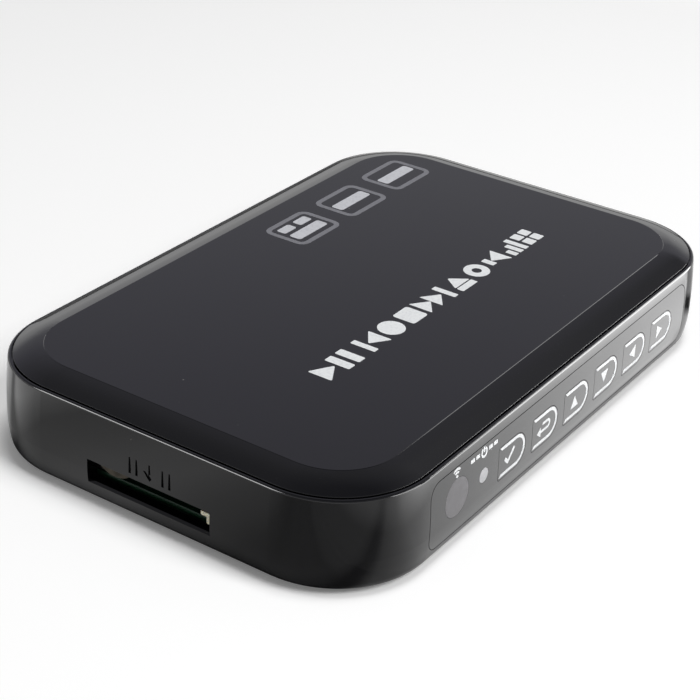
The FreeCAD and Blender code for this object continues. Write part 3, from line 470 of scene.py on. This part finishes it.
def draw(shape, across, up, wide, tall, point="up", corner=0.0, line=0.0):
    """Draw one flat shape in mm, like artwork on a film: its middle, its size before it is
    turned and which way it points; the radius of its corners, and the width of its line."""
    turn = TURNS[point] if isinstance(point, str) else math.radians(point)
    drop = 0.0
    bpy.ops.object.select_all(action="DESELECT")
    if shape == "bar":
        bpy.ops.mesh.primitive_plane_add(size=MM)
        stretch = (wide, tall, 1)
    elif shape == "triangle":
        bpy.ops.mesh.primitive_circle_add(vertices=3, radius=MM, fill_type="NGON")
        stretch = (wide / math.sqrt(3), tall / 1.5, 1)
        drop = tall / 6
    else:
        bpy.ops.mesh.primitive_circle_add(vertices=24, radius=MM, fill_type="NGON")
        stretch = (wide / 2, tall / 2, 1)
    drawn_shape = bpy.context.active_object
    drawn_shape.scale = stretch
    drawn_shape.rotation_euler.z = turn
    drawn_shape.location = (
        (across + drop * math.sin(turn)) * MM, (up - drop * math.cos(turn)) * MM, 0)
    bpy.ops.object.transform_apply(location=True, rotation=True, scale=True)
    bpy.ops.object.mode_set(mode="EDIT")
    bpy.ops.mesh.select_all(action="SELECT")
    if corner:
        bpy.ops.mesh.bevel(offset=corner * MM, segments=4, affect="VERTICES")
        bpy.ops.mesh.select_all(action="SELECT")
    if line:
        bpy.ops.mesh.inset(thickness=line * MM, depth=0)
        bpy.ops.mesh.delete(type="FACE")
    bpy.ops.object.mode_set(mode="OBJECT")
    return drawn_shape


def keep_faces(drawn_shape, wanted):
    """Delete the faces of a shape whose middle, in mm, fails a test."""
    bpy.ops.object.mode_set(mode="EDIT")
    mesh = bmesh.from_edit_mesh(drawn_shape.data)
    for face in mesh.faces:
        face.select_set(not wanted(face.calc_center_median() / MM))
    bpy.ops.mesh.delete(type="FACE")
    bpy.ops.object.mode_set(mode="OBJECT")
    return drawn_shape


def print_mark(name, shapes, ink, body, wraps=None, height=0.0):
    """Join the shapes of one mark and give it its coat of ink, flat on the top cover or
    stood up and wrapped onto a front piece."""
    bpy.ops.object.select_all(action="DESELECT")
    for shape in shapes:
        shape.select_set(True)
    mark = shapes[0]
    bpy.context.view_layer.objects.active = mark
    if len(shapes) > 1:
        bpy.ops.object.join()
    mark.name = name
    mark.data.name = name
    if wraps:
        mark.rotation_euler = (QUARTER, 0, 0)
        mark.location = before_the_front
    else:
        mark.location = (0, 0, height)
    bpy.ops.object.transform_apply(location=True, rotation=True, scale=False)
    if wraps:
        wrap = mark.modifiers.new("wrap", "SHRINKWRAP")
        wrap.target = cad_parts[wraps]
        wrap.wrap_method = "PROJECT"
        wrap.use_project_y = True
        wrap.use_positive_direction = True
        bpy.ops.object.modifier_apply(modifier="wrap")
    coat = mark.modifiers.new("coat", "SOLIDIFY")
    coat.thickness = ink_coat
    coat.offset = 1.0
    bpy.ops.object.modifier_apply(modifier="coat")
    mark.data.materials.append(ink)
    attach(mark, body)


# Key legends: each key carries a white half-round outline that stops short at the left,
# and one small mark: a tick, a return arrow, or a triangle that points the key's way.
legend_middle = 9.65
first_key = -20.4
key_pitch = 11.45
outline_wide = 8.5
outline_tall = 5.9
outline_line = 0.6
nearly_half = 0.499
tick_line = 0.65
arrow_line = 0.5
arrow_bend = 0.8
arrow_low = legend_middle - 0.5
for number, key in enumerate(key_names):
    middle = first_key + number * key_pitch
    outline = draw("bar", middle, legend_middle, outline_wide, outline_tall)
    bpy.ops.object.mode_set(mode="EDIT")
    for vert in bmesh.from_edit_mesh(outline.data).verts:
        vert.select_set(vert.co.x > middle * MM)
    bpy.ops.mesh.bevel(offset=outline_tall * nearly_half * MM, segments=12, affect="VERTICES")
    bpy.ops.mesh.select_all(action="SELECT")
    bpy.ops.mesh.inset(thickness=outline_line * MM, depth=0)
    bpy.ops.mesh.delete(type="FACE")
    bpy.ops.object.mode_set(mode="OBJECT")
    left_end = middle - outline_wide / 2 + outline_line
    legend = [keep_faces(outline, lambda centre: centre.x > left_end)]
    if key == "ok":
        legend.append(draw("bar", middle - 2.0, legend_middle - 0.35, tick_line, 1.4, 45))
        legend.append(draw("bar", middle - 0.55, legend_middle + 0.1, tick_line, 3.2, -45))
    elif key == "back":
        legend.append(draw("triangle", middle - 2.25, arrow_low, 1.9, 1.3, "left"))
        legend.append(draw("bar", middle - 0.4, arrow_low, 2.4, arrow_line))
        bend = draw("disc", middle + arrow_bend, legend_middle + 0.2, 1.9, 1.9, line=arrow_line)
        legend.append(keep_faces(bend, lambda centre: centre.x > middle + arrow_bend))
        legend.append(draw("bar", middle - 0.1, legend_middle + 0.9, 1.8, arrow_line))
    else:
        legend.append(draw("triangle", middle - 0.7, legend_middle, 2.7, 2.3, key))
    print_mark("legend_" + key, legend, white_ink, "key_" + key, wraps="key_" + key)


# Marks over the window and the light: a dot with two waves over it for the receiver, and
# the common sign for power between two pairs of dashes.
source = Vector((-38.5, 14.2))
dot_size = 0.6
wave_line = 0.4
wave_steepness = 0.9
waves = [draw("disc", source.x, source.y, dot_size, dot_size)]
for wave_size in (1.9, 3.1):
    wave = draw("disc", source.x, source.y, wave_size, wave_size, line=wave_line)
    waves.append(keep_faces(
        wave,
        lambda centre: centre.y - source.y > abs(centre.x - source.x) * wave_steepness))
print_mark("receiver_mark", waves, white_ink, "player", wraps="front_strip")

sign_height = 14.65
power_middle = -29.9
ring_middle = sign_height - 0.1
ring_size = 2.0
ring_line = 0.42
ring_gap_steepness = 1.8
ring = draw("disc", power_middle, ring_middle, ring_size, ring_size, line=ring_line)
power = [keep_faces(
    ring,
    lambda centre: centre.y - ring_middle < abs(centre.x - power_middle) * ring_gap_steepness)]
power.append(draw("bar", power_middle, sign_height + 0.45, ring_line, 1.1))
dash_wide = 1.2
dash_tall = 0.7
for dash_middle in (-33.6, -31.95, -27.85, -26.2):
    power.append(draw("bar", dash_middle, sign_height, dash_wide, dash_tall))
print_mark("power_mark", power, white_ink, "player", wraps="front_strip")


# Transport signs on the top cover, in a row along the front: play and pause; skip back,
# record, stop and skip on; then eject, disc, sound, level and menu.
top_level = 19.695 * MM
row = -11.5
tall = 5.2
wide_line = 1.4
# Shape, middle across, middle above the row, width, height, way it points, corners, line.
sign_shapes = (
    ("triangle", -31.6, 0.0, tall, 4.6, "right", 0.5),
    ("bar", -27.85, 0.0, 2.0, tall, "up", 0.3),
    ("bar", -24.75, 0.0, 2.0, tall, "up", 0.3),
    ("bar", -20.3, 0.0, wide_line, tall, "up", 0.25),
    ("triangle", -17.2, 0.0, tall, 3.8, "left", 0.4),
    ("disc", -11.7, 0.0, tall, tall),
    ("bar", -5.5, 0.0, 4.8, 4.8, "up", 0.6),
    ("triangle", -0.3, 0.0, tall, 3.6, "right", 0.3),
    ("triangle", 3.3, 0.0, tall, 3.6, "right", 0.3),
    ("bar", 6.4, 0.0, wide_line, tall, "up", 0.25),
    ("triangle", 11.4, 0.9, 5.2, 3.4, "up", 0.4),
    ("bar", 11.4, -1.85, 5.2, 1.5, "up", 0.25),
    ("disc", 17.9, 0.0, tall, tall, "up", 0.0, 1.6),
    ("bar", 22.5, 0.0, 1.5, 2.8, "up", 0.2),
    ("triangle", 25.2, 0.0, tall, 3.8, "left", 0.3),
)
signs = [draw(shape, across, row + up, *rest) for shape, across, up, *rest in sign_shapes]
first_level = 29.0
level_pitch = 1.95
for number, step in enumerate((2.4, 3.8, tall)):
    across = first_level + level_pitch * number
    signs.append(draw("bar", across, row + (step - tall) / 2, wide_line, step, corner=0.2))
menu_middle = 37.2
menu_block = 2.3
for across in (-1.45, 1.45):
    for up in (-1.4, 1.4):
        signs.append(
            draw("bar", menu_middle + across, row + up, menu_block, menu_block, corner=0.3))
print_mark("transport_signs", signs, white_ink, "player", height=top_level)


# Three format badges at the back of the top cover: a grey rounded frame each, a pale bar
# across the middle, and in the first one two small blocks over a lower bar.
badge_places = ((12.2, 25.3), (29.2, 25.4), (46.2, 25.6))
badge_wide = 13.4
badge_tall = 10.2
frames = []
for across, up in badge_places:
    frames.append(draw("bar", across, up, badge_wide, badge_tall, corner=2.0, line=1.1))
print_mark("badge_frames", frames, grey_ink, "player", height=top_level)
bar_wide = 10.4
bar_tall = 2.8
bars = []
for across, up in badge_places[1:]:
    bars.append(draw("bar", across, up, bar_wide, bar_tall, corner=0.6))
first_badge = badge_places[0][0]
low_bar = 23.9
block_row = 27.4
block_wide = 3.9
block_tall = 2.2
bars.append(draw("bar", first_badge, low_bar, 9.6, 2.7, corner=0.6))
for side in (-2.6, 2.6):
    bars.append(draw("bar", first_badge + side, block_row, block_wide, block_tall, corner=0.5))
print_mark("badge_bars", bars, pale_ink, "player", height=top_level)


# The floor is one sheet of white acrylic under the player, lit until it is white. In the
# gloss it shows painted tones by place: painted shade and painted light at the left wall,
# painted shade at the nearest corner, a painted shadow at the right, a painted glow in front, and
# painted dimness far behind.
floor_size = 8.0
bpy.ops.object.select_all(action="DESELECT")
bpy.ops.mesh.primitive_plane_add(size=floor_size, location=(0.0, 0.0, 0.0))
floor = bpy.context.active_object
floor.name = "acrylic_floor"
acrylic, _, acrylic_place = start_material("white_acrylic", "#FFFFFF", 0.9)
acrylic_ray = add_node(acrylic, "LightPath", {})
acrylic_axes = add_node(acrylic, "SeparateXYZ", {}, {"Vector": acrylic_place})
past_corner = add_node(
    acrylic, "VectorMath", {"operation": "DOT_PRODUCT", 1: (0.3, 1.0, 0.0)}, {0: acrylic_place})
from_middle = add_node(acrylic, "VectorMath", {"operation": "LENGTH"}, {0: acrylic_place})
across_floor = acrylic_axes.outputs["X"]
along_floor = acrylic_axes.outputs["Y"]
slant = past_corner.outputs["Value"]
away = from_middle.outputs["Value"]

# Slopes of painted light and shade: what is measured, from where to where in mm, and the level at
# each end.
slopes = {
    # Painted shade and painted light in the gloss beside the left wall.
    "left_across": (across_floor, -90, -60, 0.0, 1.0),
    "left_along": (along_floor, -50, 58, 0.0, 1.0),
    "left_behind": (along_floor, 33, 42, 0.0, 0.25),
    "at_left": (across_floor, -60, -57, 1.0, 0.0),
    # Painted shade in the gloss towards the nearest corner.
    "corner_across": (across_floor, -62, -44, 1.0, 0.0),
    "corner_along": (along_floor, -45, -28, 1.0, 0.0),
    # A painted shadow in the gloss at the right of the player.
    "shadow_across": (across_floor, 60, 100, 0.0, 1.0),
    "shadow_slant": (slant, -28.4, -26.8, 0.0, 1.0),
    "shadow_along": (along_floor, -42, -36, 1.0, 0.4),
    "far_behind": (along_floor, 85, 160, 1.0, 0.4),
    # A painted glow in front of the player, stronger to the right, seen only in the gloss.
    "window_edge": (along_floor, -43.8, -43.2, 1.0, 0.0),
    "window_near": (along_floor, -48, -45, 1.0, 0.75),
    "window_far": (along_floor, -75, -60, 5.0, 1.0),
    "window_slant": (slant, -29.5, -27.5, 1.0, 0.1),
    "window_across": (across_floor, -50, 65, 0.1, 2.0),
    "far_away": (away, 250, 800, 0.14, 0.95),
}
levels = {
    "in_gloss": acrylic_ray.outputs["Is Glossy Ray"],
    "to_camera": acrylic_ray.outputs["Is Camera Ray"],
}
for name, (measured, start, end, first, last) in slopes.items():
    slope = add_node(
        acrylic, "MapRange",
        {"From Min": start * MM, "From Max": end * MM, "To Min": first, "To Max": last},
        {"Value": measured})
    levels[name] = slope.outputs[0]

# Three of the slopes go on through finer steps: the share of the way, and the level there.
finer_steps = {
    "left_across": ((0.0, 1.0), (0.76, 1.0), (0.85, 0.7), (0.92, 0.3)),
    "left_along": (
        (0.05, 0.65), (0.12, 0.22), (0.19, 0.14), (0.26, 0.12), (0.32, 0.15), (0.38, 0.22),
        (0.46, 0.29), (0.55, 0.41), (0.65, 0.40), (0.74, 0.34), (0.84, 0.31), (0.91, 0.5),
        (1.0, 0.8)),
    "shadow_across": ((0.08, 0.0), (0.2, 1.0), (0.32, 1.0), (0.42, 0.45)),
}
for name, steps in finer_steps.items():
    greys = [(share, (level, level, level, 1)) for share, level in steps]
    ramp = add_node(acrylic, "ValToRGB", {"stops": greys}, {"Fac": levels[name]})
    levels[name] = ramp.outputs[0]

# The levels are then put together one by one: the new level, what is done, and with what.
# Beside the left wall the gloss sees painted light up to twice the floor's level.
painted_gloss_gain_at_left = 2.0
# How dark the painted shade at the nearest corner is.
painted_shade_at_corner = 0.8
# How dark the painted shadow at the right is.
painted_shadow_darkness = 0.95
sums = (
    # Painted shade near the left wall, painted light further out.
    ("left_wall", "MULTIPLY", "left_across", "left_along"),
    ("left_side", "MAXIMUM", "left_wall", "left_behind"),
    ("left_change", "MULTIPLY_ADD", "left_side", painted_gloss_gain_at_left, -1.0),
    ("left_tone", "MULTIPLY_ADD", "left_change", "at_left", 1.0),
    # Painted shade at the nearest corner.
    ("corner", "MULTIPLY", "corner_across", "corner_along"),
    ("corner_tone", "MULTIPLY_ADD", "corner", -painted_shade_at_corner, 1.0),
    # Painted shadow at the right.
    ("shadow_start", "MULTIPLY", "shadow_across", "shadow_slant"),
    ("shadow", "MULTIPLY", "shadow_start", "shadow_along"),
    ("shadow_tone", "MULTIPLY_ADD", "shadow", -painted_shadow_darkness, 1.0),
    ("near_tone", "MULTIPLY", "left_tone", "corner_tone"),
    ("shaded_tone", "MULTIPLY", "near_tone", "shadow_tone"),
    # Painted dimness far behind; only gloss rays see this painted tone.
    ("room_tone", "MULTIPLY", "shaded_tone", "far_behind"),
    ("tone_change", "SUBTRACT", "room_tone", 1.0),
    ("seen_tone", "MULTIPLY_ADD", "tone_change", "in_gloss", 1.0),
    # The painted glow in front, dimmed by the painted shadow and kept to gloss rays.
    ("window_strip", "MULTIPLY", "window_edge", "window_near"),
    ("window_depth", "MULTIPLY", "window_strip", "window_far"),
    ("window_end", "MULTIPLY", "window_depth", "window_slant"),
    ("window_light", "MULTIPLY", "window_end", "window_across"),
    ("window_shaded", "MULTIPLY", "window_light", "shadow_tone"),
    ("window_glow", "MULTIPLY", "window_shaded", "in_gloss"),
    ("glow", "MULTIPLY_ADD", "to_camera", "far_away", "window_glow"),
)
for name, operation, *parts in sums:
    numbers = {place: part for place, part in enumerate(parts) if not isinstance(part, str)}
    sources = {place: levels[part] for place, part in enumerate(parts) if isinstance(part, str)}
    step = add_node(acrylic, "Math", {"operation": operation, **numbers}, sources)
    levels[name] = step.outputs[0]

matt = add_node(acrylic, "BsdfDiffuse", {}, {"Color": levels["seen_tone"]})
lit = add_node(acrylic, "Emission", {}, {"Strength": levels["glow"]})
sheet = add_node(acrylic, "AddShader", {}, {0: matt.outputs[0], 1: lit.outputs[0]})
acrylic.node_tree.links.new(
    sheet.outputs[0], acrylic.node_tree.nodes["Material Output"].inputs["Surface"])
acrylic.cycles.emission_sampling = "NONE"
floor.data.materials.append(acrylic)


# One soft box hangs over the table and one stands beside the camera, and together they
# give the light. Four white cards are seen only in the gloss: three of them light the shell
# alone and draw the bright line of its rim, and the last draws the crease of the cover.
def add_soft_box(name, place, target, width, height, radiance):
    """Hang a soft box at a place, facing a target, with its brightness for each square metre."""
    lamp = bpy.data.lights.new(name, "AREA")
    lamp.shape = "RECTANGLE"
    lamp.size = width
    lamp.size_y = height
    lamp.energy = radiance * math.pi * width * height
    hung = bpy.data.objects.new(name, lamp)
    bpy.context.collection.objects.link(hung)
    hung.location = place
    hung.rotation_euler = (Vector(target) - Vector(place)).to_track_quat("-Z", "Y").to_euler()
    hung.visible_camera = False
    return hung


player_middle = (0.0, 0.0, 0.0)
overhead = add_soft_box(
    "overhead_soft_box", (0.0, -0.11, 1.0), player_middle, width=0.25, height=0.25, radiance=18.0)
beside_camera = add_soft_box(
    "camera_side_soft_box", (0.0, -0.85, 0.90), player_middle, width=0.5, height=0.5, radiance=10.2)
for lamp in (overhead, beside_camera):
    lamp.visible_glossy = False

left_rim = (-0.06, 0.0, 0.01)
front_rim = (0.0, -0.04, 0.01)
left_card = add_soft_box(
    "left_card", (-0.65, 0.45, 0.42), left_rim, width=0.40, height=0.40, radiance=9.0)
right_card = add_soft_box(
    "right_card", (0.915, -0.55, 0.266), front_rim, width=0.47, height=0.47, radiance=9.0)
corner_card = add_soft_box(
    "corner_card", (0.25, -0.92, 0.31), front_rim, width=0.60, height=0.40, radiance=6.0)
crease_card = add_soft_box(
    "crease_card", (0.867, -0.282, 0.615), front_rim, width=0.20, height=0.26, radiance=3.0)
for card in (left_card, right_card, corner_card, crease_card):
    card.visible_diffuse = False
rim_only = bpy.data.collections.new("rim_only")
rim_only.objects.link(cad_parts["bottom_shell"])
for card in (left_card, right_card, corner_card):
    card.light_linking.receiver_collection = rim_only


# The room is plain white to the camera, and lights the player weakly and evenly. The gloss
# sees it white low down and darker overhead, and darker still above the window's head.
world = bpy.data.worlds.new("white_room")
world.use_nodes = True
bpy.context.scene.world = world
room = world.node_tree.nodes["Background"]
ray = add_node(world, "LightPath", {})
heading = add_node(world, "TexCoord", {}).outputs["Generated"]
heading_axes = add_node(world, "SeparateXYZ", {}, {"Vector": heading})
height = heading_axes.outputs["Z"]
ceiling = add_node(
    world, "ValToRGB",
    {"stops": ((0.0, (0.78, 0.78, 0.79, 1)), (0.08, (0.85, 0.85, 0.86, 1)),
               (0.13, (1.0, 1.0, 1.0, 1)), (0.26, (0.9, 0.9, 0.92, 1)),
               (0.36, (0.48, 0.48, 0.53, 1)), (0.5, (0.38, 0.375, 0.44, 1)),
               (0.8, (0.22, 0.22, 0.24, 1)), (0.95, (0.13, 0.13, 0.15, 1)))},
    {"Fac": height})
above_window = add_node(
    world, "ValToRGB",
    {"stops": ((0.45, (0.20, 0.20, 0.22, 1)), (0.52, (0.21, 0.21, 0.23, 1)),
               (0.70, (0.38, 0.38, 0.41, 1)), (0.80, (0.28, 0.28, 0.31, 1)),
               (0.92, (0.12, 0.12, 0.14, 1)))}, {"Fac": height})
beyond_window = add_node(
    world, "MapRange", {"From Min": 0.06, "From Max": 0.28},
    {"Value": heading_axes.outputs["Y"]})
high_up = add_node(world, "MapRange", {"From Min": 0.40, "From Max": 0.46}, {"Value": height})
toward_window = add_node(
    world, "Math", {"operation": "MULTIPLY_ADD", 1: -1.0},
    {0: beyond_window.outputs[0], 2: high_up.outputs[0]})
room_light = add_node(
    world, "Mix", {"data_type": "RGBA"},
    {"Factor": toward_window.outputs[0], 6: ceiling.outputs["Color"],
     7: above_window.outputs["Color"]})
room_level = add_node(
    world, "MapRange", {"To Min": 0.15, "To Max": 1.0}, {"Value": ray.outputs["Is Camera Ray"]})
room_tone = add_node(
    world, "Mix", {"data_type": "RGBA", 6: (1.0, 1.0, 1.0, 1.0)},
    {"Factor": ray.outputs["Is Glossy Ray"], 7: room_light.outputs[2]})
room_strength = add_node(
    world, "Math", {"operation": "MAXIMUM"},
    {0: room_level.outputs[0], 1: ray.outputs["Is Glossy Ray"]})
world.node_tree.links.new(room_tone.outputs[2], room.inputs["Color"])
world.node_tree.links.new(room_strength.outputs[0], room.inputs["Strength"])
bpy.context.scene.view_settings.view_transform = "Standard"
